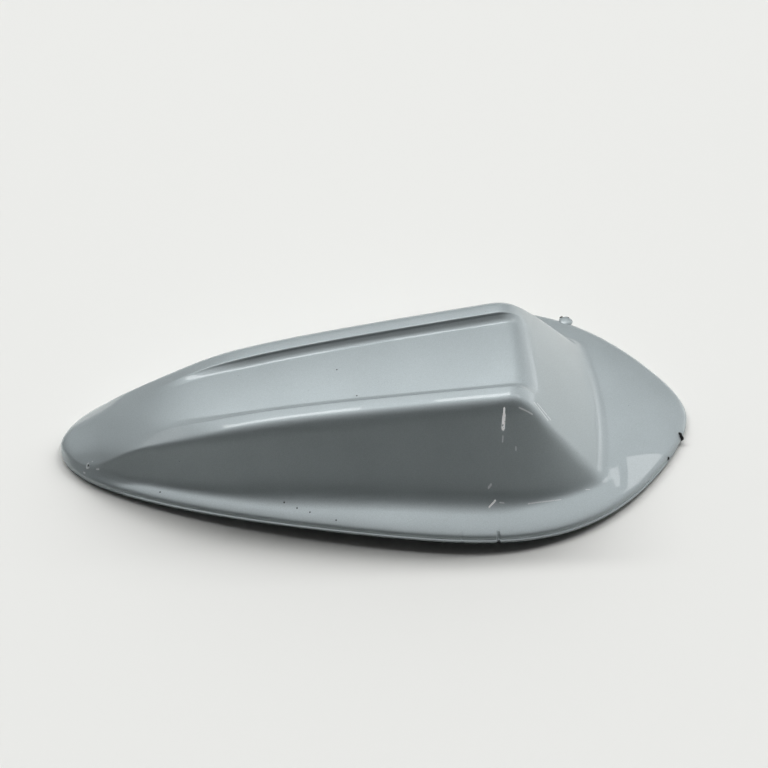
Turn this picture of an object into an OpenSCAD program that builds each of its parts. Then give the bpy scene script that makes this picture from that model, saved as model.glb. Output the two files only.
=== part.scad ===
// Low wedge-shaped roof antenna for satellite positioning, seen with its painted cover on.
// The nose points to -X, the tail to +X, and the rim stands on z = 0 at nose and tail.

/* [Cover outline] */
// Length of the cover from nose to tail
cover_l = 160; // [154:1:166]
// Width that the outline is drawn to
cover_w = 80; // [77:1:83]
// Rise of the rim at mid length, where it follows the roof
roof_rise = 2; // [1.6:0.1:2.4]
// Height of the upright lip round the rim
lip_h = 1.5; // [1.3:0.1:1.8]
// Rise of the flange from the lip to the foot of the walls
flange_rise = 2.6; // [2.2:0.1:3]

/* [Cover body] */
// Thickness of the moulded walls
wall_t = 2; // [1.8:0.1:2.2]
// Depth of the recessed top panel below its two rails
recess_d = 2.1; // [1.6:0.1:2.6]
// Width of the top of each rail
rail_w = 3.7; // [3.4:0.1:4]
// Distance from the nose to the foot of the sloped rear face
facet_foot = 137.3; // [135:0.1:139]
// Steepness of the rear face, as rise over run
facet_slope = 1.18; // [1.1:0.02:1.3]

/* [Base and board] */
// Level of the base plate's flat top
base_top = 6.2; // [6:0.1:6.6]
// Level of the underside of the board
board_z = 10.4; // [10:0.1:10.8]
// Length of the board
board_l = 53; // [50:1:54]
// Width of the board
board_w = 32; // [30:1:33]
// Side of the square ceramic element
patch_w = 25; // [22:1:26]

/* [Fastening] */
// Distance between the two threaded fixing inserts
fixing_pitch = 80; // [78:1:81]
// Radius of the inserts' threaded hole
fixing_r = 2.1; // [1.9:0.1:2.3]
// Radius of the mouth of the coaxial jack
jack_r = 2.5; // [2.3:0.1:2.7]

/* [Hidden] */
eps = 0.01;
$fn = 48;

// Fullness of the plan outline at even steps from nose to tail
fullness = [0.68, 0.64, 0.94, 0.59, 1.66, 0.79];
tip_half_w = 0.5;

// Crest height: a steep line at the nose that bends into a shallow one along the body
nose_line = [4.1, 83.2];
body_line = [19.4, 15.6];
crest_bend = 9.9;
// Half width of the crests at the nose and how much they spread by the tail
crest_half = [11.1, 7.4];
nose_narrowing = 1.8;
narrowing_run = [14, 42];

// Flange width at the nose and along the body, and where it changes
flange_w = [2.9, 8.9];
flange_run = [16, 98];
flange_reach = 7;
foot_rise = 1.6;
facet_r = 95;
rim_steepness = 1.2;

// Steepness of the walls at the nose and beside the rear face, and where each begins and ends
nose_slope = 1.15;
nose_slope_run = [14, 26];
rear_slope = 1.15;
rear_slope_run = [112, 128];

// Rounding of the nose across its top, and the distance over which it fades
nose_round = 0.069;
nose_round_reach = 11;

// Fall of each rail's top towards the crest, which comes in behind the nose and goes again
band_fall = 1.4;
band_start = [10, 30];
band_end = [32, 60];

// Recess of the top panel: its crown, the width of its sides and where it deepens
panel_crown = 0.4;
recess_side = 1.4;
recess_run = [20, 52];

// Blend sizes where two faces meet
rim_blend = 1;
foot_blend = 3.2;
band_blend = 1.4;
rear_blend = 5;
crest_blend = 3.2;
nose_crest_blend = 0.5;
ridge_blend = 2;
crest_blend_run = [24, 50];
edge_drop = 0.5;
edge_reach = 0.35;

// Radius of the roof that the rim's rise gives
roof_r = (cover_l * cover_l / 4 + roof_rise * roof_rise) / (2 * roof_rise);
base_gap = 1;
seal_proud = 0.3;
seal_inset = 6.5;
base_clear = 4;
base_front_x = 9;
base_rear_x = 133;
base_rear_r = 110;

// Places measured from the middle of the cover
cover_screw_at = [[-54, 0], [-30, 9], [-30, -9], [44, 12], [44, -12]];
fixing_at = [[-fixing_pitch / 2 - 2, 0], [fixing_pitch / 2 - 2, 0]];
jack_at = [-14, 0];
vent_at = [-6, 20.5];
board_at = [5, 0];
patch_at = [11.5, 0];
can_at = [15, 0];
spring_at = [-2, 11];
board_screw_at = [for (sx = [-1, 1], sy = [-1, 1])
    [board_at[0] + sx * (board_l / 2 - 4), board_at[1] + sy * (board_w / 2 - 3.5)]];

// Broken nick in the lip on the -Y side, and torn tab on the +Y side, from the nose
nick_x = 108.2;
nick_w = 0.9;
nick_d = 0.9;
tab_x = 132.8;

boss_r = 3.6;
boss_z = 8.2;
screw_r = 1.3;
screw_bite = 3.2;
screw_seat_z = boss_z - 2.4;
screw_head_r = 2.4;
screw_head_h = 1.5;
fit_gap = 0.05;
post_r = 3;
board_t = 1.6;
board_screw_r = 1.1;
board_screw_l = 5;
insert_r = 3.4;
insert_l = 8;
fixing_boss_r = 5;
fixing_boss_z = 12;
collar_r = 7;
collar_bore_r = 5;
collar_z = 8;
pad_t = 0.8;
patch_t = 4;
patch_z = board_z + board_t + pad_t;
feed_at = [patch_at[0] - 2, patch_at[1]];
feed_r = 0.5;
can_l = 22;
can_w = 18;
can_h = 3;
can_t = 0.3;
jack_z = 4;
jack_floor = 8;
jack_leg_r = 0.45;
jack_leg_at = [for (sx = [-1, 1], sy = [-1, 1]) [jack_at[0] + 2.7 * sx, jack_at[1] + 2.7 * sy]];
contact_r = 0.6;
vent_r = 1.5;
vent_disc_r = 4;
vent_disc_t = 0.4;

function clamp01(v) = min(1, max(0, v));
function mix(a, b, s) = a + (b - a) * s;
function step_up(s) = let (v = clamp01(s)) v * v * (3 - 2 * v);
function along(x, run) = step_up((x - run[0]) / (run[1] - run[0]));
function blend_size(a, b, k) = pow(max(0, k - abs(a - b)), 2) / (4 * k);
function soft_min(a, b, k) = min(a, b) - blend_size(a, b, k);
function soft_max(a, b, k) = max(a, b) + blend_size(a, b, k);
function bezier(c, s) = len(c) == 1 ? c[0]
    : bezier([for (i = [0:len(c) - 2]) mix(c[i], c[i + 1], s)], s);

// Plan outline and rim. x runs from 0 at the nose to cover_l at the tail.
function half_w(x) = let (s = clamp01(x / cover_l))
    max(tip_half_w, cover_w * sqrt(s * (1 - s)) * bezier(fullness, s));
function arch(x) = sqrt(roof_r * roof_r - pow(x - cover_l / 2, 2)) - (roof_r - roof_rise);
function outline_pull(x) = let (a = max(0, x - 0.5), b = min(cover_l, x + 0.5))
    (pow(half_w(b), 2) - pow(half_w(a), 2)) / (2 * (b - a));
function rim_d(x, y) = let (g = outline_pull(x), w = half_w(x))
    max(0, w * w - y * y) / (2 * sqrt(g * g + y * y) + eps);

// Feature lines along the body
function crest_z(x) = let (s = x / cover_l, a = nose_line[0] + nose_line[1] * s,
    b = body_line[0] + body_line[1] * s)
    (a + b - sqrt(pow(a - b, 2) + crest_bend * crest_bend)) / 2;
function flange_at(x) = mix(flange_w[0], flange_w[1], along(x, flange_run));
function foot_y(x) = half_w(x) - flange_at(x);
function crest_y(x) = crest_half[0] + crest_half[1] * x / cover_l
    - nose_narrowing * (1 - along(x, narrowing_run));
function rail_y(x) = crest_y(x) - rail_w;
function crest_fall(x) = band_fall * along(x, band_start) * (1 - along(x, band_end));

// Faces of the cover as heights over the plan. t is 0 outside and the wall thickness inside.
function flange_z(x, y, t) = let (d = rim_d(x, y)) arch(x) + lip_h
    + flange_rise * (1 - exp(-d / flange_reach)) - edge_drop * exp(-d / edge_reach) - t * lip_h / wall_t;
function wall_slope(x, foot_z) = let (
    body_slope = (crest_z(x) - crest_fall(x) - foot_z) / max(1, foot_y(x) - crest_y(x)))
    mix(mix(nose_slope, body_slope, along(x, nose_slope_run)), rear_slope, along(x, rear_slope_run));
function wall_z(x, y, t) = let (foot_z = arch(x) + lip_h + foot_rise, m = wall_slope(x, foot_z))
    foot_z + (foot_y(x) - abs(y)) * m - t * sqrt(1 + m * m);
function panel_z(x, y) = along(x, recess_run)
    * (recess_d - panel_crown * clamp01(1 - pow(y / rail_y(recess_run[1]), 2)));
function top_z(x, y, t) = crest_z(x) - t - nose_round * exp(-x / nose_round_reach) * y * y
    - panel_z(x, y) * (t > 0 ? 1 : step_up((rail_y(x) - abs(y)) / recess_side));
function band_z(x, y, t) = crest_z(x) - t - crest_fall(x) / rail_w * (abs(y) - rail_y(x));
function facet_z(x, y, t) = arch(facet_foot) + lip_h + flange_rise - t * sqrt(1 + facet_slope * facet_slope)
    + (facet_foot - y * y / (2 * facet_r) - x) * facet_slope;
function roof_z(x, y, t) =
    soft_min(soft_min(top_z(x, y, t), band_z(x, y, t), band_blend), facet_z(x, y, t), rear_blend);
function crest_k(x) = mix(mix(nose_crest_blend, crest_blend, along(x, crest_blend_run)), ridge_blend,
    along(x, rear_slope_run));
function body_z(x, y, t) = soft_min(wall_z(x, y, t), roof_z(x, y, t), crest_k(x));
function cap_z(x, y, t) = arch(x) + lip_h * (1 - t / wall_t) + rim_steepness * rim_d(x, y);
function cover_z(x, y, t = 0) =
    soft_max(flange_z(x, y, t), soft_min(body_z(x, y, t), cap_z(x, y, t), rim_blend), foot_blend);

// Stations along the cover, closer together at both tips and over the rear face
nose_run = 20;
tail_run = 20;
tip_steps = 10;
stations = concat(
    [for (i = [0:tip_steps - 1]) nose_run * (1 - cos(90 * i / tip_steps))],
    [for (i = [0:21]) mix(nose_run, 110, i / 22)],
    [for (i = [0:17]) mix(110, cover_l - tail_run, i / 18)],
    [for (i = [tip_steps:-1:0]) cover_l - tail_run * (1 - cos(90 * i / tip_steps))]);

// Half sections from the rim to the centre line, with points on each edge of the form
function outer_half(x) = let (w = half_w(x), f = foot_y(x), c = min(crest_y(x), f - 1), r = c - rail_w,
    raw = concat([w, w - 0.3, w - 0.8],
        [for (s = [0.4, 0.75, 1]) mix(w - 0.8, f + 0.5, s)],
        [for (s = [0.12, 0.3, 0.6, 0.85]) mix(f + 0.5, c + 1.4, s)],
        [c + 1.4, c + 0.5, c - 0.5, c - 1.5, r + 0.15, r - 0.3, r - 0.7, r - 1.1, r - recess_side],
        [for (s = [0.66, 0.33, 0]) (r - recess_side) * s]))
    spread(raw, w);
function inner_half(x) = let (w = inner_w(x), f = foot_y(x), c = min(crest_y(x), f - 1),
    raw = concat([w, mix(w, f, 0.5)], [for (s = [0, 0.25, 0.6, 0.85, 1]) mix(f - 1.5, c, s)],
        [for (s = [0.75, 0.4, 0]) c * s]))
    spread(raw, w);
// Keeps the points in order where the section is narrow
function spread(raw, w) = let (n = len(raw) - 1)
    [for (i = [0:n]) max(w * 0.01 * (n - i), min(raw[i], w * (1 - 0.01 * i)))];

function inner_x(x) = mix(lip_h, cover_l - lip_h, x / cover_l);
function inner_w(x) = half_w((x - lip_h) / (cover_l - 2 * lip_h) * cover_l) * (1 - 2 * lip_h / cover_w);
function across(half) = concat([for (v = half) -v], [for (i = [len(half) - 2:-1:0]) half[i]]);
function section(x, ys, t) = let (n = len(ys) - 1) concat(
    [[x, ys[0], arch(x)]],
    [for (y = ys) [x, y, cover_z(x, y, t)]],
    [[x, ys[n], arch(x)]]);

// Shell between the outer and the inner surface, joined by the flat underside of the rim
module cover_shell() {
    outer = [for (x = stations) section(x, across(outer_half(x)), 0)];
    inner = [for (x = stations) let (xi = inner_x(x)) section(xi, across(inner_half(xi)), wall_t)];
    n = len(stations);
    no = len(outer[0]);
    ni = len(inner[0]);
    points = concat([for (s = outer) each s], [for (s = inner) each s]);
    function o(i, j) = i * no + j;
    function p(i, j) = n * no + i * ni + j;
    quads = concat(
        [for (i = [0:n - 2], j = [0:no - 2]) [o(i, j), o(i, j + 1), o(i + 1, j + 1), o(i + 1, j)]],
        [for (i = [0:n - 2], j = [0:ni - 2]) [p(i, j), p(i + 1, j), p(i + 1, j + 1), p(i, j + 1)]],
        [for (i = [0:n - 2]) [o(i, 0), o(i + 1, 0), p(i + 1, 0), p(i, 0)]],
        [for (i = [0:n - 2]) [o(i, no - 1), p(i, ni - 1), p(i + 1, ni - 1), o(i + 1, no - 1)]],
        [[o(0, 0), p(0, 0), p(0, ni - 1), o(0, no - 1)]],
        [[o(n - 1, 0), o(n - 1, no - 1), p(n - 1, ni - 1), p(n - 1, 0)]]);
    tips = [[for (j = [0:no - 1]) o(0, no - 1 - j)], [for (j = [0:no - 1]) o(n - 1, j)],
        [for (j = [0:ni - 1]) p(0, j)], [for (j = [0:ni - 1]) p(n - 1, ni - 1 - j)]];
    triangles = [for (q = quads) each [[q[0], q[1], q[2]], [q[0], q[2], q[3]]]];
    polyhedron(points, concat(triangles, tips), convexity = 8);
}

// Screw boss that runs up into the cover's ceiling and is cut off along it
module cover_boss(x, y) {
    gx = cover_z(x + 1, y, wall_t) - cover_z(x - 1, y, wall_t);
    gy = cover_z(x, y + 1, wall_t) - cover_z(x, y - 1, wall_t);
    tilt = atan(sqrt(gx * gx + gy * gy) / 2);
    difference() {
        translate([x, y, boss_z]) cylinder(r = boss_r, h = 30);
        translate([x, y, cover_z(x, y, wall_t) + wall_t / 2])
            rotate([0, 0, atan2(gy, gx)]) rotate([0, -tilt, 0]) translate([-30, -30, 0]) cube(60);
        translate([x, y, boss_z - 1]) cylinder(r = screw_r + fit_gap, h = 1 + screw_bite);
    }
}

// Small break in the lip, and the torn tab that stands out of it on the other side
module lip_nick() {
    x = nick_x - cover_l / 2;
    y = -half_w(nick_x);
    translate([0, 0, -1]) linear_extrude(8)
        polygon([[x - nick_w, y - 1], [x + nick_w, y - 1],
                 [x + nick_w / 4, y + nick_d], [x - nick_w / 4, y + nick_d * 0.6]]);
}

module lip_tab() {
    x = tab_x - cover_l / 2;
    y = half_w(tab_x);
    translate([0, 0, arch(tab_x) + 0.3]) linear_extrude(lip_h)
        polygon([[x - 1.8, y - 1.6], [x + 1.8, y - 1.6], [x + 1.5, y + 1], [x + 0.9, y + 1.5],
                 [x - 0.4, y + 1.3], [x - 1.1, y + 1.7], [x - 1.5, y + 0.9]]);
}

module cover() {
    color([0.55, 0.6, 0.62]) difference() {
        union() {
            translate([-cover_l / 2, 0, 0]) {
                cover_shell();
                for (p = cover_screw_at) cover_boss(p[0] + cover_l / 2, p[1]);
            }
            lip_tab();
        }
        lip_nick();
    }
}

// Plan outline moved inwards, square to itself
function inset_point(x, d) = let (a = max(0, x - 0.5), b = min(cover_l, x + 0.5),
    g = (half_w(b) - half_w(a)) / (b - a), k = sqrt(1 + g * g))
    [x + d * g / k - cover_l / 2, half_w(x) - d / k];
function inset_outline(ds, xs) = let (side = [for (i = [0:len(xs) - 1]) inset_point(xs[i], ds[i])])
    concat([for (p = side) [p[0], -p[1]]], [for (i = [len(side) - 1:-1:0]) side[i]]);
roof_steps = 21;
plan_stations = [for (i = [0:36]) cover_l / 2 * (1 - cos(mix(5, 175, i / 36)))];

// Slab between two lifts above the roof's curve
module roof_slab(low, high) {
    function curve(z) = [for (i = [0:roof_steps])
        let (x = cover_l * i / roof_steps) [x - cover_l / 2, arch(x) + z]];
    top = curve(high);
    bottom = curve(low);
    translate([0, cover_w / 2 + 1, 0]) rotate([90, 0, 0]) linear_extrude(cover_w + 2)
        polygon(concat(top, [for (i = [roof_steps:-1:0]) bottom[i]]));
}

module at(p, z) {
    translate([p[0], p[1], z]) children();
}

// Upright stub on the base, sunk a little into the plate
module base_stub(p, r, top) {
    at(p, base_top - 1) cylinder(r = r, h = top - base_top + 1);
}

module base_plate() {
    xs = [for (x = plan_stations) if (x > base_front_x) x];
    ds = [for (x = xs) flange_at(x) + base_clear];
    difference() {
        intersection() {
            linear_extrude(base_top) polygon(inset_outline(ds, xs));
            translate([base_rear_x - cover_l / 2 - base_rear_r, 0, -1])
                cylinder(r = base_rear_r, h = 20, $fn = 720);
        }
        roof_slab(-10, base_gap);
    }
}

module base() {
    color([0.62, 0.63, 0.64]) difference() {
        union() {
            base_plate();
            for (p = cover_screw_at) base_stub(p, 4.4, boss_z);
            for (p = board_screw_at) base_stub(p, post_r, board_z);
            for (p = fixing_at) base_stub(p, fixing_boss_r, fixing_boss_z);
            base_stub(jack_at, collar_r, collar_z);
        }
        for (p = cover_screw_at) {
            at(p, 0) cylinder(r = screw_r + 0.2, h = 20);
            at(p, 0) cylinder(r = screw_head_r + 0.2, h = screw_seat_z);
        }
        for (p = board_screw_at) at(p, board_z - board_screw_l) cylinder(r = board_screw_r + fit_gap, h = 20);
        for (p = fixing_at) at(p, 0) cylinder(r = insert_r, h = fixing_boss_z - 1.5);
        at(jack_at, 0) cylinder(r = collar_bore_r, h = 20);
        at(vent_at, 0) cylinder(r = vent_r, h = 20);
    }
}

module roof_seal() {
    color([0.08, 0.08, 0.08]) difference() {
        intersection() {
            linear_extrude(8) polygon(inset_outline([for (x = plan_stations) seal_inset], plan_stations));
            roof_slab(-seal_proud, base_gap);
        }
        for (p = fixing_at) at(p, -1) cylinder(r = 4.2, h = 20);
        at(jack_at, -1) cylinder(r = 6, h = 20);
        at(vent_at, -1) cylinder(r = vent_r + 0.5, h = 20);
    }
}

module board() {
    color([0.05, 0.3, 0.15]) difference() {
        at(board_at, board_z) linear_extrude(board_t) square([board_l, board_w], center = true);
        for (p = board_screw_at) at(p, 0) cylinder(r = board_screw_r + 0.3, h = 20);
        for (p = jack_leg_at) at(p, 0) cylinder(r = jack_leg_r + 0.1, h = 20);
        at(jack_at, 0) cylinder(r = contact_r + 0.1, h = 20);
        at(feed_at, 0) cylinder(r = feed_r + 0.1, h = 20);
    }
}

module patch_pad() {
    color([0.85, 0.85, 0.8]) difference() {
        at(patch_at, board_z + board_t) linear_extrude(pad_t) square(patch_w - 3, center = true);
        at(feed_at, 0) cylinder(r = feed_r + 0.6, h = 20);
    }
}

module patch() {
    w = patch_w / 2;
    c = 1.5;
    color([0.78, 0.72, 0.6]) difference() {
        at(patch_at, patch_z) linear_extrude(patch_t)
            polygon([[c - w, -w], [w - c, -w], [w, c - w], [w, w - c],
                     [w - c, w], [c - w, w], [-w, w - c], [-w, c - w]]);
        at(feed_at, 0) cylinder(r = feed_r + 0.1, h = 30);
    }
}

module feed_pin() {
    color([0.85, 0.7, 0.35]) {
        at(feed_at, board_z - 0.8) cylinder(r = feed_r, h = patch_z + patch_t - board_z + 1);
        at(feed_at, patch_z + patch_t) cylinder(r = 1.1, h = 0.4);
    }
}

module shield_can() {
    color([0.75, 0.76, 0.78]) difference() {
        at(can_at, board_z - can_h) linear_extrude(can_h) square([can_l, can_w], center = true);
        at(can_at, board_z - can_h + can_t) linear_extrude(can_h)
            square([can_l - 2 * can_t, can_w - 2 * can_t], center = true);
    }
}

module chip(p, w, h) {
    at(p, board_z - h) linear_extrude(h) square(w, center = true);
}

module amplifier() {
    color([0.1, 0.1, 0.1]) chip([can_at[0] - 5, 4], 3, 0.9);
}

module filter() {
    color([0.8, 0.75, 0.5]) chip([can_at[0] + 5, -3], 3.8, 1.2);
}

module jack_shell() {
    color([0.8, 0.68, 0.35]) difference() {
        union() {
            at(jack_at, jack_z) cylinder(r = jack_r + 0.8, h = board_z - jack_z - 1);
            at(jack_at, board_z - 1.5) linear_extrude(1.5) square(7, center = true);
            for (p = jack_leg_at) at(p, board_z - 1) cylinder(r = jack_leg_r, h = board_t + 1.6);
        }
        at(jack_at, 0) cylinder(r = jack_r, h = board_z);
    }
}

module jack_insulator() {
    color([0.95, 0.95, 0.92]) difference() {
        at(jack_at, jack_floor) cylinder(r = jack_r, h = board_z - jack_floor);
        at(jack_at, 0) cylinder(r = contact_r, h = 20);
    }
}

module jack_pin() {
    start = jack_z + 0.8;
    color([0.9, 0.75, 0.3]) at(jack_at, start) cylinder(r = contact_r, h = board_z + board_t + 0.6 - start);
}

module jack_seal() {
    color([0.12, 0.12, 0.12]) difference() {
        at(jack_at, collar_z) cylinder(r = collar_r - 0.4, h = board_z - collar_z);
        at(jack_at, 0) cylinder(r = collar_bore_r, h = 20);
    }
}

// Bent strip: a foot on the base, a slanted leaf and a pad soldered under the board
module ground_spring() {
    t = 0.3;
    h = board_z - base_top;
    profile = [[-3, 0], [0.2, 0], [3, h - t], [6, h - t], [6, h], [2.8, h], [0, t], [-3, t]];
    color([0.8, 0.6, 0.4]) translate([spring_at[0], spring_at[1] + 1.5, base_top]) rotate([90, 0, 0])
        linear_extrude(3) polygon(profile);
}

module board_screws() {
    color([0.7, 0.7, 0.72]) for (p = board_screw_at) {
        at(p, board_z - board_screw_l + 0.5) cylinder(r = board_screw_r, h = board_screw_l - 0.5 + board_t);
        at(p, board_z + board_t) cylinder(r = 2, h = 1.3);
    }
}

module cover_screws() {
    color([0.7, 0.7, 0.72]) for (p = cover_screw_at) {
        at(p, screw_seat_z - screw_head_h) cylinder(r = screw_head_r, h = screw_head_h);
        at(p, screw_seat_z) cylinder(r = screw_r, h = boss_z + screw_bite - 0.3 - screw_seat_z);
    }
}

module fixing_inserts() {
    color([0.8, 0.65, 0.3]) for (p = fixing_at) difference() {
        at(p, fixing_boss_z - 1.5 - insert_l) cylinder(r = insert_r, h = insert_l);
        at(p, 0) cylinder(r = fixing_r, h = 20);
    }
}

module vent_membrane() {
    color([0.95, 0.95, 0.95]) at(vent_at, base_top) cylinder(r = vent_disc_r, h = vent_disc_t);
}

module vent_ring() {
    color([0.15, 0.15, 0.15]) difference() {
        at(vent_at, base_top + vent_disc_t) cylinder(r = vent_disc_r, h = 0.8);
        at(vent_at, 0) cylinder(r = vent_disc_r - 1.2, h = 20);
    }
}

cover();
base();
roof_seal();
board();
patch();
patch_pad();
feed_pin();
shield_can();
amplifier();
filter();
jack_shell();
jack_insulator();
jack_pin();
jack_seal();
ground_spring();
board_screws();
cover_screws();
fixing_inserts();
vent_membrane();
vent_ring();
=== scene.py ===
# Looks of a low roof antenna: its painted cover with wear, the inner parts, light and camera
import math
import bpy
import numpy as np
from mathutils import Matrix, Vector


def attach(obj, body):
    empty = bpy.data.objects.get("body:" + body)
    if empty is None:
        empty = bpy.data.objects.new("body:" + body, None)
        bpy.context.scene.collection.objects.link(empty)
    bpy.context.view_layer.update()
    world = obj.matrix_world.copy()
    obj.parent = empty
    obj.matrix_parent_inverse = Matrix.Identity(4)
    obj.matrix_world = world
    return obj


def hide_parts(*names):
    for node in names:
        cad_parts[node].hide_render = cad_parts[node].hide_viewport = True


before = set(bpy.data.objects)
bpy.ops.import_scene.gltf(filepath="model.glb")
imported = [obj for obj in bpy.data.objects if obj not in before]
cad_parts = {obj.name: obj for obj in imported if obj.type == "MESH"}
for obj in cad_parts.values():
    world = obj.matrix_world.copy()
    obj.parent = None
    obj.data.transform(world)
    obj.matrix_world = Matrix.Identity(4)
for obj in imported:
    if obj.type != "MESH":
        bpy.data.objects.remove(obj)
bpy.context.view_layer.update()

# Form of the cover in millimetres, x from the nose, as in the part's source but eased for the gloss

# Plan outline, rim, lip and flange
COVER_L = 160
COVER_W = 80
FULLNESS = [0.68, 0.64, 0.94, 0.59, 1.66, 0.79]
TIP_HALF_W = 0.5
ROOF_RISE = 2
ROOF_R = (COVER_L**2 / 4 + ROOF_RISE**2) / (2 * ROOF_RISE)
WALL_T = 2
LIP_H = 1.5
EDGE_DROP = 0.5
EDGE_REACH = 0.35
FLANGE_RISE = 2.6
FLANGE_REACH = 7
FLANGE_W = (4.1, 8.9)
FLANGE_RUN = (16, 98)
TIP_FLANGE_LOSS = 1.7
TIP_FLANGE_RUN = (8, 25)

# Crests: a steep line at the nose bends into a shallow one, and the two spread towards the tail
NOSE_LINE = (4.1, 83.2)
BODY_LINE = (19.4, 15.6)
CREST_BEND = 9.9
CREST_HALF = (11.3, 7.6)
NOSE_NARROWING = 2.0
NARROWING_RUN = (14, 42)

# Walls: rise of their foot, and their steepness at the nose and beside the rear face
FOOT_RISE = 1.6
NOSE_SLOPE = 1.5
NOSE_SLOPE_RUN = (12, 30)
REAR_SLOPE = 1.15
REAR_SLOPE_RUN = (109, 137)

# Steepest rise of the body from the rim, and the lift that takes this limit away behind the nose
RIM_STEEPNESS = 1.2
CAP_LIFT = 4
CAP_LIFT_RUN = (9, 24)

# Top: rounded nose, rails, recessed panel and sloped rear face
NOSE_ROUND = 0.069
NOSE_ROUND_REACH = 11
RAIL_W = 3.9
RAIL_CROWN = 0.6
RAIL_CROWN_RUN = (26, 44)
BAND_FALL = 1.4
BAND_START = (10, 30)
BAND_END = (28, 48)
RECESS_D = 2.1
RECESS_RUN = (20, 52)
RECESS_SIDE = 2.7
RECESS_ROUND = 1.8
RECESS_EDGE = 0.25
PANEL_CROWN = 0.4
FACET_FOOT = 137.3
FACET_SLOPE = 1.18
FACET_R = 95

# Blend sizes where two faces meet, and where they change along the cover
RIM_BLEND = 1
BAND_BLEND = 1.4
REAR_BLEND = 5
RIDGE_BLEND = 2
NOSE_CREST_BLEND = 0.5
CREST_BLEND = 2.8
CREST_BLEND_RUN = (24, 50)
TIP_FOOT = 3.2
NOSE_FOOT = 1.3
NOSE_FOOT_RUN = (8, 20)
SIDE_FOOT = 4.4
SIDE_FOOT_RUN = (26, 60)
REAR_FOOT = 2
REAR_FOOT_RUN = (108, 126)

# Ledge along the foot of the lip, which is absent at both tips
LEDGE = 0.45
LEDGE_TOP = 0.5
LEDGE_ROUND = 0.12
LEDGE_BEVEL = 0.3
LEDGE_TILT = 0.08
LEDGE_REACH = 2.5
LEDGE_FROM = (5, 20)
LEDGE_TO = (152, 159)

# Broken nick and small dent in the near rim, and place of the torn tab on the far one
NICK_X = 108.0
NICK_HALF = 0.5
NICK_D = 0.5
NICK_STEEPNESS = 1.3
DENT_X = 99.1
DENT_HALF = 0.5
DENT_D = 0.15
TAB_X = 132.6

# Step that the outline's slope is taken over, and a length that keeps a division from zero
SLOPE_STEP = 0.5
TINY = 0.01


def mix(a, b, s):
    return a + (b - a) * s


def step_up(s):
    v = np.clip(s, 0, 1)
    return v * v * (3 - 2 * v)


def along(x, run):
    return step_up((x - run[0]) / (run[1] - run[0]))


def blend_size(a, b, k):
    return np.maximum(0, k - np.abs(a - b))**2 / (4 * k)


def soft_min(a, b, k):
    return np.minimum(a, b) - blend_size(a, b, k)


def soft_max(a, b, k):
    return np.maximum(a, b) + blend_size(a, b, k)


def bezier(values, s):
    points = [np.full_like(s, v) for v in values]
    while len(points) > 1:
        points = [mix(a, b, s) for a, b in zip(points[:-1], points[1:])]
    return points[0]


# Outline, rim and feature lines
def half_w(x):
    s = np.clip(np.asarray(x, float) / COVER_L, 0, 1)
    return np.maximum(TIP_HALF_W, COVER_W * np.sqrt(s * (1 - s)) * bezier(FULLNESS, s))


def arch(x):
    return np.sqrt(ROOF_R**2 - (x - COVER_L / 2)**2) - (ROOF_R - ROOF_RISE)


def rim_d(x, y):
    """About the distance from the rim."""
    a, b = np.maximum(0, x - SLOPE_STEP), np.minimum(COVER_L, x + SLOPE_STEP)
    pull = (half_w(b)**2 - half_w(a)**2) / (2 * (b - a))
    return np.maximum(0, half_w(x)**2 - y * y) / (2 * np.sqrt(pull * pull + y * y) + TINY)


def crest_z(x):
    s = x / COVER_L
    a, b = NOSE_LINE[0] + NOSE_LINE[1] * s, BODY_LINE[0] + BODY_LINE[1] * s
    return (a + b - np.sqrt((a - b)**2 + CREST_BEND**2)) / 2


def foot_y(x):
    flange = mix(*FLANGE_W, along(x, FLANGE_RUN))
    return half_w(x) - flange + TIP_FLANGE_LOSS * (1 - along(x, TIP_FLANGE_RUN))


def crest_y(x):
    return CREST_HALF[0] + CREST_HALF[1] * x / COVER_L - NOSE_NARROWING * (1 - along(x, NARROWING_RUN))


def rail_y(x):
    return crest_y(x) - RAIL_W


def crest_fall(x):
    return BAND_FALL * along(x, BAND_START) * (1 - along(x, BAND_END))


# Faces of the cover as heights over the plan. t is 0 outside and the wall thickness inside.
def flange_z(x, y, t):
    d = rim_d(x, y)
    rise = FLANGE_RISE * (1 - np.exp(-d / FLANGE_REACH)) - EDGE_DROP * np.exp(-d / EDGE_REACH)
    return arch(x) + LIP_H + rise - t * LIP_H / WALL_T


def wall_z(x, y, t):
    foot_z = arch(x) + LIP_H + FOOT_RISE
    slope = (crest_z(x) - crest_fall(x) - foot_z) / np.maximum(1, foot_y(x) - crest_y(x))
    slope = mix(mix(NOSE_SLOPE, slope, along(x, NOSE_SLOPE_RUN)), REAR_SLOPE, along(x, REAR_SLOPE_RUN))
    return foot_z + (foot_y(x) - np.abs(y)) * slope - t * np.sqrt(1 + slope * slope)


def panel_z(x, y):
    crown = PANEL_CROWN * np.clip(1 - (y / rail_y(RECESS_RUN[1]))**2, 0, 1)
    return along(x, RECESS_RUN) * (RECESS_D - crown)


def top_z(x, y, t):
    share = np.clip((rail_y(x) - np.abs(y)) / RECESS_SIDE, 0, 1)
    side = 1 if t > 0 else (1 - (1 - share)**RECESS_ROUND) * step_up(share / RECESS_EDGE)
    return crest_z(x) - t - NOSE_ROUND * np.exp(-x / NOSE_ROUND_REACH) * y * y - panel_z(x, y) * side


def band_z(x, y, t):
    across = (np.abs(y) - rail_y(x)) / RAIL_W
    crown = RAIL_CROWN * along(x, RAIL_CROWN_RUN) * np.maximum(0, across)**2
    return crest_z(x) - t - crest_fall(x) * across - crown


def facet_z(x, y, t):
    level = arch(FACET_FOOT) + LIP_H + FLANGE_RISE - t * math.sqrt(1 + FACET_SLOPE**2)
    return level + (FACET_FOOT - y * y / (2 * FACET_R) - x) * FACET_SLOPE


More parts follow.
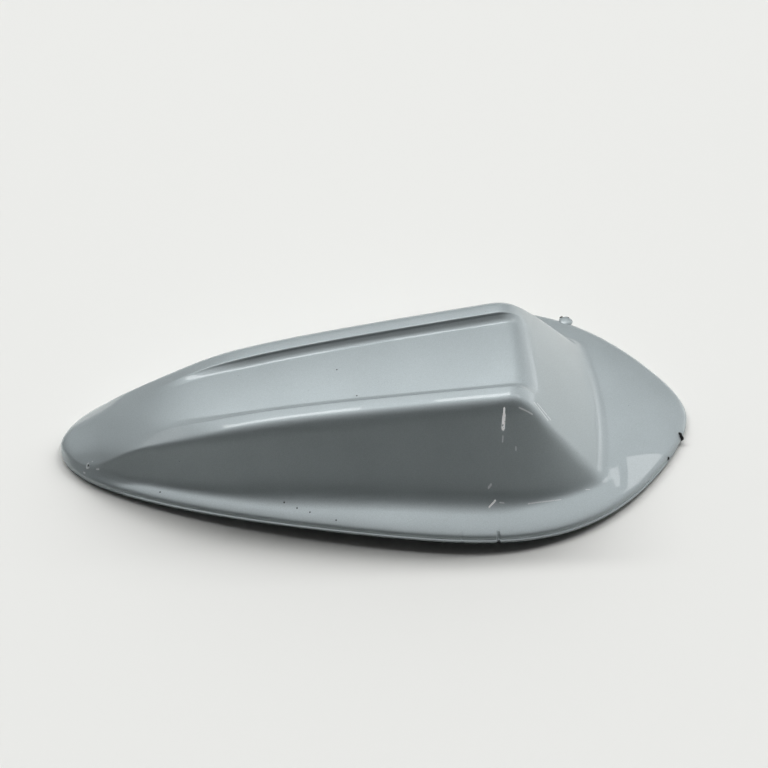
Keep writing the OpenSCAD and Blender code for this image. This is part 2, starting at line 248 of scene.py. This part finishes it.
def body_z(x, y, t):
    roof = soft_min(soft_min(top_z(x, y, t), band_z(x, y, t), BAND_BLEND), facet_z(x, y, t), REAR_BLEND)
    k = mix(mix(NOSE_CREST_BLEND, CREST_BLEND, along(x, CREST_BLEND_RUN)), RIDGE_BLEND,
            along(x, REAR_SLOPE_RUN))
    return soft_min(wall_z(x, y, t), roof, k)


def cap_z(x, y, t):
    return (arch(x) + LIP_H * (1 - t / WALL_T) + RIM_STEEPNESS * rim_d(x, y)
            + CAP_LIFT * along(x, CAP_LIFT_RUN))


def cover_z(x, y, t=0):
    foot = mix(mix(TIP_FOOT, NOSE_FOOT, along(x, NOSE_FOOT_RUN)), SIDE_FOOT, along(x, SIDE_FOOT_RUN))
    foot = mix(foot, REAR_FOOT, along(x, REAR_FOOT_RUN))
    return soft_max(flange_z(x, y, t), soft_min(body_z(x, y, t), cap_z(x, y, t), RIM_BLEND), foot)


def edge_loss(x):
    """How far the near rim is set back where it is broken."""
    nick = NICK_D * np.clip(NICK_STEEPNESS - np.abs(x - NICK_X) / NICK_HALF * NICK_STEEPNESS, 0, 1)
    dent = DENT_D * np.clip(1 - np.abs(x - DENT_X) / DENT_HALF, 0, 1)
    return nick + dent


def spaced(*runs):
    """One list of numbers from runs of (start, end, steps), each without its end."""
    return np.concatenate([np.linspace(a, b, n, endpoint=False) for a, b, n in runs])


# Stations along the cover, closer together at both tips, at the nick and over the rear face
TIP_RUN = 14
TIP_STEPS = 26
TIP_TURN = np.linspace(0, math.pi / 2, TIP_STEPS, endpoint=False)
STATIONS = np.concatenate([
    TIP_RUN * (1 - np.cos(TIP_TURN)),
    spaced((TIP_RUN, 60, 70), (60, 98, 40), (98, 100, 10), (100, 107, 14), (107, 109.4, 24),
           (109.4, 140, 76), (140, COVER_L - TIP_RUN, 10)),
    np.flip(COVER_L - TIP_RUN * (1 - np.cos(TIP_TURN))),
])

# Rows across the cover: points at the rim, and how far close rows reach round each edge of the form
RIM_POINTS = np.array([0, 0.08, 0.17, 0.28, 0.42, 0.6, 0.85, 1.2])
RIM_BAND = 0.5
NARROW_W = 8
FOOT_ROWS = 3.4
CREST_ROWS = 2.6
RECESS_ROWS = 0.1
PAST_CENTRE = -0.8
INNER_FOOT = 1.5
FORM_ROWS_FROM = (14, 30)
FORM_ROWS_TO = (128, 142)


def form_share(x):
    """How far the rows follow the form's edges: not at the tips, where it has no room for them."""
    return float(along(x, FORM_ROWS_FROM) * (1 - along(x, FORM_ROWS_TO)))


def outer_rows(x):
    """Distances from the centre line to the points of one half section, from the rim inwards."""
    w, foot, crest, rail = float(half_w(x)), float(foot_y(x)), float(crest_y(x)), float(rail_y(x))
    rim = w - RIM_POINTS * min(1, w / NARROW_W)
    start = rim[-1] - RIM_BAND * min(1, w / NARROW_W)
    panel = rail - RECESS_SIDE - RECESS_ROWS
    by_form = spaced((start, foot + FOOT_ROWS, 4), (foot + FOOT_ROWS, foot - FOOT_ROWS, 10),
                     (foot - FOOT_ROWS, crest + CREST_ROWS, 6),
                     (crest + CREST_ROWS, crest - CREST_ROWS, 12),
                     (crest - CREST_ROWS, rail + RECESS_ROWS, 3), (rail + RECESS_ROWS, panel, 18),
                     (panel, PAST_CENTRE, 6))
    by_form = np.append(by_form[:-1], 0)
    even = np.linspace(start, 0, len(by_form))
    return np.concatenate([rim, mix(even, by_form, form_share(x))])


def inner_rows(x, w):
    foot, crest = float(foot_y(x)), min(float(crest_y(x)), float(foot_y(x)) - 1)
    by_form = spaced((w, foot - INNER_FOOT, 3), (foot - INNER_FOOT, crest, 6), (crest, 0, 5))
    by_form = np.append(by_form, 0)
    even = np.linspace(w, 0, len(by_form))
    return mix(even, by_form, form_share(x))


def both_sides(half):
    return np.concatenate([-half, np.flip(half[:-1])])


def ledge_points(rim, edge, low, inward):
    """The narrow ledge along the foot of the lip, from the seat up to the edge above it."""
    turn = min(LEDGE_ROUND, abs(edge - rim) / 2) * inward
    top = low + LEDGE_TOP
    return [(rim, low), (rim, top - LEDGE_ROUND),
            (rim + LEDGE_BEVEL * turn, top - LEDGE_BEVEL * LEDGE_ROUND), (rim + turn, top),
            (edge - turn, top + LEDGE_TILT), (edge, top + LEDGE_ROUND)]


def outer_section(x):
    """Points across the outer face at x, from seat to seat, with the ledge and the damage."""
    ys = both_sides(outer_rows(x))
    zs = cover_z(np.full_like(ys, x), ys)
    w, low = float(half_w(x)), float(arch(x))
    ledge = LEDGE * float(along(x, LEDGE_FROM) * (1 - along(x, LEDGE_TO)))
    near_rim = np.clip((np.abs(ys) - w + LEDGE_REACH) / LEDGE_REACH, 0, 1)
    placed = ys - np.sign(ys) * ledge * near_rim
    placed = np.where(ys < 0, placed + edge_loss(x) * (near_rim > 0.5), placed)
    start = ledge_points(-w + edge_loss(x), placed[0], low, 1)
    end = ledge_points(w, placed[-1], low, -1)
    return [(x, y, z) for y, z in start + list(zip(placed, zs)) + end[::-1]]


def inner_section(x):
    """Points across the inner face, which lies in from the rim by the lip's height."""
    xi = mix(LIP_H, COVER_L - LIP_H, x / COVER_L)
    w = float(half_w((xi - LIP_H) / (COVER_L - 2 * LIP_H) * COVER_L)) * (1 - 2 * LIP_H / COVER_W)
    ys = both_sides(inner_rows(xi, w))
    zs = cover_z(np.full_like(ys, xi), ys, WALL_T)
    low = float(arch(x))
    return [(xi, ys[0], low)] + list(zip([xi] * len(ys), ys, zs)) + [(xi, ys[-1], low)]


def skin_faces(n, no, ni):
    """Faces of a shell with n sections, each with no outer and ni inner points."""
    def o(i, j):
        return i * no + j

    def p(i, j):
        return n * no + i * ni + j

    faces = []
    for i in range(n - 1):
        faces += [(o(i, j), o(i + 1, j), o(i + 1, j + 1), o(i, j + 1)) for j in range(no - 1)]
        faces += [(p(i, j), p(i, j + 1), p(i + 1, j + 1), p(i + 1, j)) for j in range(ni - 1)]
        faces.append((o(i, 0), p(i, 0), p(i + 1, 0), o(i + 1, 0)))
        faces.append((o(i, no - 1), o(i + 1, no - 1), p(i + 1, ni - 1), p(i, ni - 1)))
    faces.append((o(0, 0), o(0, no - 1), p(0, ni - 1), p(0, 0)))
    faces.append((o(n - 1, 0), p(n - 1, 0), p(n - 1, ni - 1), o(n - 1, no - 1)))
    faces.append(tuple(o(0, j) for j in range(no)))
    faces.append(tuple(o(n - 1, j) for j in reversed(range(no))))
    faces.append(tuple(p(0, j) for j in reversed(range(ni))))
    faces.append(tuple(p(n - 1, j) for j in range(ni)))
    return faces


def new_mesh(name, points, faces, smooth=True):
    mesh = bpy.data.meshes.new(name)
    mesh.from_pydata([tuple(p) for p in points], [], faces)
    mesh.validate()
    mesh.polygons.foreach_set("use_smooth", [smooth] * len(mesh.polygons))
    piece = bpy.data.objects.new(name, mesh)
    bpy.context.scene.collection.objects.link(piece)
    return piece


SHARP_ANGLE = 50


def cover_skin():
    """The whole moulded cover: outer face, upright lip, flat underside of the rim and inner face."""
    outer = [outer_section(x) for x in STATIONS]
    inner = [inner_section(x) for x in STATIONS]
    points = np.array([p for section in outer + inner for p in section], float)
    points[:, 0] -= COVER_L / 2
    faces = skin_faces(len(STATIONS), len(outer[0]), len(inner[0]))
    piece = new_mesh("cover_skin", points / 1000, faces)
    piece.data.set_sharp_from_angle(angle=math.radians(SHARP_ANGLE))
    return piece


WAVES = 6
WAVE_RATE = 2.2


def lump(name, centre, size, seed, roughness):
    """A small rounded lump with an uneven surface."""
    bpy.ops.mesh.primitive_ico_sphere_add(subdivisions=3, radius=1)
    piece = bpy.context.object
    piece.name = name
    rng = np.random.default_rng(seed)
    waves = rng.normal(size=(WAVES, 3)) * WAVE_RATE
    phases = rng.uniform(0, 2 * math.pi, WAVES)
    for v in piece.data.vertices:
        co = np.array(v.co)
        swell = 1 + roughness * float(np.mean(np.sin(waves @ co + phases)))
        v.co = Vector(np.array(centre) / 1000 + co * swell * np.array(size) / 1000)
    piece.data.polygons.foreach_set("use_smooth", [True] * len(piece.data.polygons))
    return piece


# Shader helpers
def new_material(name):
    material = bpy.data.materials.new(name)
    material.use_nodes = True
    return material, material.node_tree, material.node_tree.nodes["Principled BSDF"]


def feed(tree, socket, value):
    """Links the socket to another one, or sets it to a constant."""
    if isinstance(value, bpy.types.NodeSocket):
        tree.links.new(value, socket)
    else:
        socket.default_value = value


def add(tree, kind, **inputs):
    """A node of that kind. Its inputs go by name, or by place as i0, i1 and so on."""
    made = tree.nodes.new(kind)
    for key, value in inputs.items():
        by_place = key[0] == "i" and key[1:].isdigit()
        feed(tree, made.inputs[int(key[1:]) if by_place else key], value)
    return made


def maths(tree, operation, a, b):
    made = tree.nodes.new("ShaderNodeMath")
    made.operation = operation
    feed(tree, made.inputs[0], a)
    feed(tree, made.inputs[1], b)
    return made.outputs[0]


def combined(tree, operation, values):
    """The values joined one after another by that operation."""
    total = values[0]
    for value in values[1:]:
        total = maths(tree, operation, total, value)
    return total


def vector_maths(tree, operation, a, b=None, output="Vector"):
    made = tree.nodes.new("ShaderNodeVectorMath")
    made.operation = operation
    feed(tree, made.inputs[0], a)
    if b is not None:
        feed(tree, made.inputs[1], b)
    return made.outputs[output]


def ramped(tree, value, low, high, to_low=0.0, to_high=1.0):
    """Smooth change from to_low, where value is low, to to_high, where it is high."""
    made = tree.nodes.new("ShaderNodeMapRange")
    made.interpolation_type = "SMOOTHSTEP"
    feed(tree, made.inputs["Value"], value)
    for key, number in (("From Min", low), ("From Max", high), ("To Min", to_low), ("To Max", to_high)):
        made.inputs[key].default_value = number
    return made.outputs[0]


def blended(tree, share, a, b):
    """Colour a where share is 0 and b where it is 1."""
    made = tree.nodes.new("ShaderNodeMix")
    made.data_type = "RGBA"
    feed(tree, made.inputs["Factor"], share)
    for key, value in (("A", a), ("B", b)):
        feed(tree, made.inputs[key], (*value, 1) if isinstance(value, tuple) else value)
    return next(s for s in made.outputs if s.type == "RGBA")


def either(tree, test, no, yes):
    """The number no where test is 0 and yes where it is 1."""
    made = add(tree, "ShaderNodeMix", i0=test)
    feed(tree, made.inputs["A"], no)
    feed(tree, made.inputs["B"], yes)
    return made.outputs[0]


def shaded(tree, share, colour):
    """The colour times the share."""
    grey = add(tree, "ShaderNodeCombineXYZ", i0=share, i1=share, i2=share).outputs[0]
    return vector_maths(tree, "MULTIPLY", grey, colour)


def noise(tree, place, per_metre, detail=2.0):
    return add(tree, "ShaderNodeTexNoise", Vector=place, Scale=per_metre, Detail=detail).outputs["Fac"]


STROKE_SOFTNESS = 0.4


def stroke_mask(tree, place, start, end, half_width):
    """1 on the line from start to end, seen from above, in millimetres from the nose."""
    a, b = (np.array([p[0] - COVER_L / 2, p[1], 0]) / 1000 for p in (start, end))
    span = b - a
    from_a = vector_maths(tree, "SUBTRACT", place, tuple(a))
    reach = vector_maths(tree, "DOT_PRODUCT", from_a, tuple(span / max(1e-12, span @ span)), "Value")
    held = maths(tree, "MINIMUM", maths(tree, "MAXIMUM", reach, 0.0), 1.0)
    onto = add(tree, "ShaderNodeCombineXYZ", i0=maths(tree, "MULTIPLY", held, float(span[0])),
               i1=maths(tree, "MULTIPLY", held, float(span[1]))).outputs["Vector"]
    off = vector_maths(tree, "LENGTH", vector_maths(tree, "SUBTRACT", from_a, onto), output="Value")
    return ramped(tree, off, half_width / 1000 * (1 - STROKE_SOFTNESS),
                  half_width / 1000 * (1 + STROKE_SOFTNESS), to_low=1.0, to_high=0.0)


def set_surface(tree, bsdf, **inputs):
    """Sets the surface shader's inputs by name, with a low line for each space."""
    for key, value in inputs.items():
        feed(tree, bsdf.inputs[key.replace("_", " ")], value)


PAINT = (0.39, 0.44, 0.455)
CHIP = (0.85, 0.86, 0.86)
# Strength of a faint glow on the pale scratches: a painted highlight that makes them brighter than the
# light on them allows
PAINTED_SCRATCH_GLOW = 0.32
DIRT = (0.05, 0.05, 0.05)
FAINT_SHARE = 0.35
DUST_SHARE = 0.5
SPECK_HALF = 0.2

# Marks on the paint, in millimetres from the nose: start, end, half width
WHITE_SCRATCHES = [
    ((110.7, -17.7), (110.6, -18.6), 0.22),
    ((110.6, -18.6), (110.3, -20.1), 0.38),
    ((106.3, -30.7), (107.9, -29.5), 0.18),
]
FAINT_SCRATCHES = [
    ((110.2, -21.2), (110.1, -21.8), 0.16),
    ((113.3, -22.6), (113.3, -22.9), 0.16),
    ((106.4, -27.5), (107.0, -27.1), 0.2),
    ((109.0, -29.9), (110.0, -30.0), 0.12),
    ((116.0, -30.1), (124.2, -28.9), 0.13),
    ((130.7, -26.1), (131.7, -26.0), 0.12),
    ((114.3, -17.6), (117.5, -18.2), 0.12),
    ((118.2, -15.4), (121.5, -17.6), 0.12),
    ((119.1, -15.0), (122.3, -16.9), 0.12),
    ((7.2, -8.6), (7.1, -9.2), 0.14),
    ((7.2, -8.5), (7.7, -8.4), 0.12),
    ((7.2, -9.3), (7.7, -9.4), 0.12),
    ((9.7, -10.4), (10.3, -10.6), 0.12),
    ((6.2, -9.7), (6.6, -10.0), 0.14),
    ((8.6, -8.4), (8.7, -8.4), 0.12),
]
DARK_SPECKS = [
    (71.0, 1.5), (56.3, -25.1), (59.4, -26.8), (62.5, -28.2), (25.6, -18.3), (68.8, -30.9),
    (75.5, -7.8), (7.6, -8.9),
]


def paint_tone(tree, place):
    """The paint's colour with fine flakes and faint clouds."""
    flake = ramped(tree, noise(tree, place, per_metre=5200, detail=1.0), 0.35, 0.65,
                   to_low=0.94, to_high=1.06)
    cloud = ramped(tree, noise(tree, place, per_metre=60, detail=3.0), 0.3, 0.7,
                   to_low=0.97, to_high=1.03)
    return shaded(tree, cloud, shaded(tree, flake, PAINT))


def white_marks(tree, place, from_above):
    """Scratches with ragged edges, some of them faint."""
    deep, faint = (combined(tree, "MAXIMUM", [stroke_mask(tree, from_above, *mark) for mark in marks])
                   for marks in (WHITE_SCRATCHES, FAINT_SCRATCHES))
    ragged = ramped(tree, noise(tree, place, per_metre=2400), 0.3, 0.42)
    return maths(tree, "MAXIMUM", maths(tree, "MULTIPLY", deep, ragged),
                 combined(tree, "MULTIPLY", [faint, ragged, FAINT_SHARE]))


def dark_marks(tree, place, from_above):
    """Dark specks, and fine dust that lies in patches."""
    specks = [stroke_mask(tree, from_above, spot, spot, SPECK_HALF) for spot in DARK_SPECKS]
    cells = add(tree, "ShaderNodeTexVoronoi", Vector=place, Scale=420.0).outputs["Distance"]
    dust = ramped(tree, cells, 0.03, 0.07, to_low=1.0, to_high=0.0)
    patches = ramped(tree, noise(tree, place, per_metre=130), 0.6, 0.68)
    return maths(tree, "MAXIMUM", combined(tree, "MAXIMUM", specks),
                 combined(tree, "MULTIPLY", [dust, patches, DUST_SHARE]))


def paint_material():
    """Glossy blue-grey metallic paint under clear coat, with chips, scratches and dust; the pale scratches
    also glow faintly, a painted highlight.
    """
    material, tree, bsdf = new_material("gloss_paint")
    place = add(tree, "ShaderNodeTexCoord").outputs["Object"]
    from_above = vector_maths(tree, "MULTIPLY", place, (1, 1, 0))
    scratches_and_glow = white_marks(tree, place, from_above)
    dark = dark_marks(tree, place, from_above)
    worn = maths(tree, "MAXIMUM", scratches_and_glow, dark)

    def by_wear(sound, damaged):
        return ramped(tree, worn, 0.1, 0.6, to_low=sound, to_high=damaged)

    bump = add(tree, "ShaderNodeBump", Strength=0.035, Distance=0.00002,
               Height=noise(tree, place, per_metre=900))
    # The emission on the pale scratches is a painted highlight; their pale colour is the real chipped paint
    set_surface(tree, bsdf,
                Base_Color=blended(tree, dark, blended(tree, scratches_and_glow, paint_tone(tree, place), CHIP), DIRT),
                Metallic=by_wear(0.6, 0.0), Roughness=by_wear(0.5, 0.75),
                Coat_Weight=by_wear(1.0, 0.0), Coat_Roughness=0.012, Normal=bump.outputs["Normal"],
                Emission_Color=(1, 1, 1, 1),
                Emission_Strength=maths(tree, "MULTIPLY", scratches_and_glow, PAINTED_SCRATCH_GLOW))
    return material


def plain_material(name, colour, roughness, metallic=0.0, grain=1200, depth=0.1, mottle=0.06, **more):
    """Finished material with a slight mottle, uneven gloss and a fine grain."""
    material, tree, bsdf = new_material(name)
    place = add(tree, "ShaderNodeTexCoord").outputs["Object"]
    fine = noise(tree, place, per_metre=grain, detail=3.0)
    broad = noise(tree, place, per_metre=grain / 12, detail=3.0)
    dark = tuple(c * (1 - 2 * mottle) for c in colour)
    light = tuple(min(1, c * (1 + mottle)) for c in colour)
    bump = add(tree, "ShaderNodeBump", Strength=depth, Distance=0.00005, Height=fine)
    set_surface(tree, bsdf, Base_Color=blended(tree, ramped(tree, broad, 0.3, 0.7), dark, light),
                Roughness=ramped(tree, broad, 0.3, 0.7, roughness * 0.9, min(1, roughness * 1.1)),
                Metallic=metallic, Normal=bump.outputs["Normal"], **more)
    return material


cover = cover_skin()
paint = paint_material()
cover.data.materials.append(paint)
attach(cover, "root")
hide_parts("cover")

# Torn tab and the residue on it: offset from the rim, half sizes, seed and roughness
tab_y, tab_z = float(half_w(TAB_X)), float(arch(TAB_X))
residue = plain_material("dark_residue", (0.12, 0.115, 0.1), 0.8, grain=2500, depth=0.4)
TAB_LUMPS = [("rim_tab", (0.1, -0.5, 1.5), (1.75, 1.8, 0.75), 3, 0.2, paint),
             ("tab_spot_left", (-0.8, 0.75, 1.8), (0.45, 0.4, 0.25), 4, 0.7, residue),
             ("tab_spot_right", (0.9, 0.55, 1.8), (0.3, 0.35, 0.25), 6, 0.7, residue),
             ("tab_chip", (1.5, -0.5, 1.6), (0.5, 0.45, 0.35), 7, 0.6, residue)]
for name, offset, size, seed, roughness, material in TAB_LUMPS:
    centre = (TAB_X - COVER_L / 2 + offset[0], tab_y + offset[1], tab_z + offset[2])
    piece = lump(name, centre, size, seed, roughness)
    piece.data.materials.append(material)
    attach(piece, "root")

# Black bits of the seal that show past the tail's rim: place, half sizes, seed and roughness
rubber = plain_material("seal_rubber", (0.012, 0.012, 0.013), 0.7, grain=2500, depth=0.4)
seal_bit = lump("seal_bit", (157.35 - COVER_L / 2, -7.8, 1.3), (0.7, 0.85, 0.8), 8, 0.8)
small_bit = lump("small_seal_bit", (153.1 - COVER_L / 2, -14.9, 1.2), (0.35, 0.35, 0.45), 5, 0.8)
for bit in (seal_bit, small_bit):
    bit.data.materials.append(rubber)
    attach(bit, "root")

FINISHES = {
    "base": plain_material("cast_alloy", (0.55, 0.56, 0.57), 0.5, 0.9, grain=1500, depth=0.35),
    "roof_seal": rubber,
    "board": plain_material("green_board", (0.02, 0.16, 0.07), 0.35, grain=3000, Coat_Weight=0.5),
    "patch": plain_material("fired_ceramic", (0.62, 0.55, 0.42), 0.5, grain=4000, depth=0.2),
    "patch_pad": plain_material("foam_tape", (0.75, 0.75, 0.7), 0.9, grain=3000, depth=0.5),
    "feed_pin": plain_material("gold_pin", (0.85, 0.62, 0.3), 0.25, 1.0),
    "shield_can": plain_material("tinned_steel", (0.7, 0.71, 0.73), 0.3, 1.0, grain=2000),
    "amplifier": plain_material("chip_resin", (0.03, 0.03, 0.03), 0.55, grain=5000, depth=0.3),
    "filter": plain_material("filter_ceramic", (0.7, 0.62, 0.4), 0.45, grain=5000),
    "jack_shell": plain_material("gold_shell", (0.83, 0.64, 0.33), 0.28, 1.0),
    "jack_insulator": plain_material("white_insulator", (0.85, 0.85, 0.82), 0.5, grain=4000),
    "jack_pin": plain_material("gold_contact", (0.88, 0.68, 0.3), 0.22, 1.0),
    "jack_seal": plain_material("jack_rubber", (0.02, 0.02, 0.02), 0.65, grain=2500, depth=0.3),
    "ground_spring": plain_material("copper_alloy", (0.75, 0.5, 0.3), 0.3, 1.0),
    "board_screws": plain_material("zinc_screw", (0.62, 0.63, 0.65), 0.35, 1.0, grain=2500),
    "cover_screws": plain_material("steel_screw", (0.58, 0.59, 0.61), 0.35, 1.0, grain=2500),
    "fixing_inserts": plain_material("brass_insert", (0.72, 0.55, 0.26), 0.35, 1.0, grain=2500),
    "vent_membrane": plain_material("white_membrane", (0.86, 0.86, 0.86), 0.85, grain=6000, depth=0.4),
    "vent_ring": plain_material("black_ring", (0.04, 0.04, 0.04), 0.6, grain=3000),
}
for name, material in FINISHES.items():
    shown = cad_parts[name]
    shown.data.materials.clear()
    shown.data.materials.append(material)


FLOOR_HALF = 2


def add_floor():
    corners = [(x * FLOOR_HALF, y * FLOOR_HALF, 0) for x, y in ((-1, -1), (1, -1), (1, 1), (-1, 1))]
    floor_mesh = new_mesh("floor", corners, [(0, 1, 2, 3)], smooth=False)
    material, tree, bsdf = new_material("pale_table")
    set_surface(tree, bsdf, Base_Color=(0.81, 0.812, 0.79, 1), Roughness=0.9, Specular_IOR_Level=0.1)
    floor_mesh.data.materials.append(material)


# Sky by direction, with x to the right, y away from the camera and z up
# A run is where a share changes along x, a rise along y and a level along z.

# For diffuse light: a window low behind, which rises along y less z
WINDOW_FRONT = 0.02
WINDOW_BEHIND = 1.15
WINDOW_RISE = (-0.3, 0.1)

# For gloss: a pale ceiling, dimmer at the left, high at the right and low down, with a glow low right
GLOSS_FRONT = 0.1
GLOSS_BEHIND = 0.88
GLOSS_RISE = (-0.98, -0.05)
LEFT_SHARE = 0.5
LEFT_RUN = (-0.75, -0.25)
RIGHT_SHARE = 0.72
RIGHT_RUN = (0.04, 0.34)
RIGHT_LEVEL = (0.62, 0.74)
LOW_SHARE = 0.3
LOW_RUN = (0.4, 0.7)
LOW_LEVEL = (0.48, 0.76)
TOP_SHARE = 1.35
TOP_LEVEL = (0.7, 0.95)
GLOW_SHARE = 2.3
GLOW_RUN = (0.5, 0.9)
GLOW_RISE = (0.1, 0.45)
GLOW_LEVEL = (0.0, 0.45)

# For the camera: an even background
BACKGROUND = 0.83
SKY_COLOUR = (0.985, 0.995, 1, 1)


def ceiling_light(tree, x, y, z):
    """The sky's strength as the gloss sees it."""
    glow = combined(tree, "MULTIPLY", [ramped(tree, x, *GLOW_RUN), ramped(tree, y, *GLOW_RISE),
                                       ramped(tree, z, *GLOW_LEVEL, 1.0, 0.0)])
    return combined(tree, "MULTIPLY", [
        ramped(tree, y, *GLOSS_RISE, GLOSS_FRONT, GLOSS_BEHIND),
        ramped(tree, x, *LEFT_RUN, LEFT_SHARE, 1.0),
        ramped(tree, z, *TOP_LEVEL, 1.0, TOP_SHARE),
        maths(tree, "MAXIMUM", ramped(tree, x, *RIGHT_RUN, 1.0, RIGHT_SHARE),
              ramped(tree, z, *RIGHT_LEVEL, 1.0, 0.0)),
        maths(tree, "MAXIMUM", ramped(tree, z, *LOW_LEVEL, LOW_SHARE, 1.0),
              ramped(tree, x, *LOW_RUN)),
        ramped(tree, glow, 0, 1, 1.0, GLOW_SHARE),
    ])


def add_sky():
    world = bpy.data.worlds.new("studio")
    bpy.context.scene.world = world
    world.use_nodes = True
    world.cycles.sampling_method = "NONE"
    tree = world.node_tree
    direction = add(tree, "ShaderNodeTexCoord").outputs["Generated"]
    x, y, z = add(tree, "ShaderNodeSeparateXYZ", Vector=direction).outputs
    ray = add(tree, "ShaderNodeLightPath").outputs
    window = ramped(tree, maths(tree, "SUBTRACT", y, z), *WINDOW_RISE, WINDOW_FRONT, WINDOW_BEHIND)
    lit = either(tree, ray["Is Glossy Ray"], window, ceiling_light(tree, x, y, z))
    sky = tree.nodes["Background"]
    feed(tree, sky.inputs["Strength"], either(tree, ray["Is Camera Ray"], lit, BACKGROUND))
    feed(tree, sky.inputs["Color"], SKY_COLOUR)


# Key light: a long bar behind, with more of it to the right, for a dark shadow with a soft edge
BAR_AWAY = 12
BAR_ANGLE = 43.7
BAR_HALF_ANGLE = 2
BAR_LEFT = -15.8
BAR_RIGHT = 37
BAR_POWER = 6400

# Weaker light from behind on the right
SUN_AZIMUTH = 40
SUN_ELEVATION = 43.3
SUN_SPREAD = 8
SUN_POWER = 0.42


def add_lamp(lamp, middle, azimuth, elevation):
    """Puts the lamp behind the object, facing it, and keeps it out of the gloss."""
    lit = bpy.data.objects.new(lamp.name, lamp)
    bpy.context.scene.collection.objects.link(lit)
    lit.location = (middle, BAR_AWAY, BAR_AWAY * math.tan(math.radians(BAR_ANGLE)))
    lit.rotation_euler = (math.radians(elevation - 90), 0, math.radians(-azimuth))
    lit.visible_glossy = False


def add_key_lights():
    bar = bpy.data.lights.new("key", "AREA")
    bar.shape = "RECTANGLE"
    bar_distance = BAR_AWAY / math.cos(math.radians(BAR_ANGLE))
    bar.size = BAR_RIGHT - BAR_LEFT
    bar.size_y = 2 * bar_distance * math.tan(math.radians(BAR_HALF_ANGLE))
    bar.energy = BAR_POWER
    add_lamp(bar, (BAR_LEFT + BAR_RIGHT) / 2, 0, BAR_ANGLE)
    sun = bpy.data.lights.new("side_key", "SUN")
    sun.energy = SUN_POWER
    sun.angle = math.radians(SUN_SPREAD)
    add_lamp(sun, 0, SUN_AZIMUTH, SUN_ELEVATION)


# Bright panes overhead, for gloss alone: their corners in metres, and radiance
PANES = [([(-0.67, 0.29), (-0.67, 0.6), (-0.225, 0.6), (-0.225, 0.29)], 5.2),
         ([(-0.14, 0.31), (-0.14, 0.6), (0.2, 0.6), (0.2, 0.31)], 5.2),
         ([(0.509, 0.623), (0.95, 0.46), (1.0, 0.15), (0.735, 0.18)], 3.4),
         ([(0.489, 0.578), (0.587, 0.37), (0.555, 0.38), (0.445, 0.575)], 3.4),
         ([(-1.2, 0.3), (-1.2, 0.6), (-0.95, 0.6), (-0.95, 0.3)], 1.2)]
PANE_HEIGHT = 1.0


def add_panes():
    for number, (corners, radiance) in enumerate(PANES):
        pane = new_mesh(f"pane_{number}", [(x, y, PANE_HEIGHT) for x, y in corners], [(0, 1, 2, 3)], False)
        glow, tree, bsdf = new_material(f"pane_glow_{number}")
        set_surface(tree, bsdf, Base_Color=(0, 0, 0, 1), Emission_Color=(1, 1, 1, 1),
                    Emission_Strength=radiance)
        pane.data.materials.append(glow)
        pane.visible_diffuse = False


# Camera, placed from the photo: angles in degrees, distances in metres, and the framing in pixels
ELEVATION = 48.0
TURN = 2.55
ROLL = 1.19
DISTANCE = 0.5333
AIM_HEIGHT = 0.0015
PIXELS_PER_LENGTH = 626.4
OFFSET_X = -10.1
OFFSET_Y = -44.9
PICTURE = 768
SENSOR = 36


def add_camera():
    e, turn, roll = (math.radians(v) for v in (ELEVATION, TURN, ROLL))
    right = Vector((math.cos(turn), -math.sin(turn), 0))
    up = Vector((math.sin(turn) * math.sin(e), math.cos(turn) * math.sin(e), math.cos(e)))
    ahead = Vector((math.sin(turn) * math.cos(e), math.cos(turn) * math.cos(e), -math.sin(e)))
    pixel = COVER_L / 1000 / PIXELS_PER_LENGTH
    place = Vector((0, 0, AIM_HEIGHT)) - DISTANCE * ahead - OFFSET_X * pixel * right - OFFSET_Y * pixel * up
    side = right * math.cos(roll) - up * math.sin(roll)
    top = right * math.sin(roll) + up * math.cos(roll)
    camera = bpy.data.cameras.new("camera")
    camera.sensor_width = SENSOR
    camera.lens = SENSOR * DISTANCE / pixel / PICTURE
    camera_object = bpy.data.objects.new("camera", camera)
    bpy.context.scene.collection.objects.link(camera_object)
    camera_object.matrix_world = Matrix(((side.x, top.x, -ahead.x, place.x),
                                         (side.y, top.y, -ahead.y, place.y),
                                         (side.z, top.z, -ahead.z, place.z), (0, 0, 0, 1)))
    bpy.context.scene.camera = camera_object


add_floor()
add_sky()
add_key_lights()
add_panes()
add_camera()
bpy.context.scene.view_settings.view_transform = "Standard"
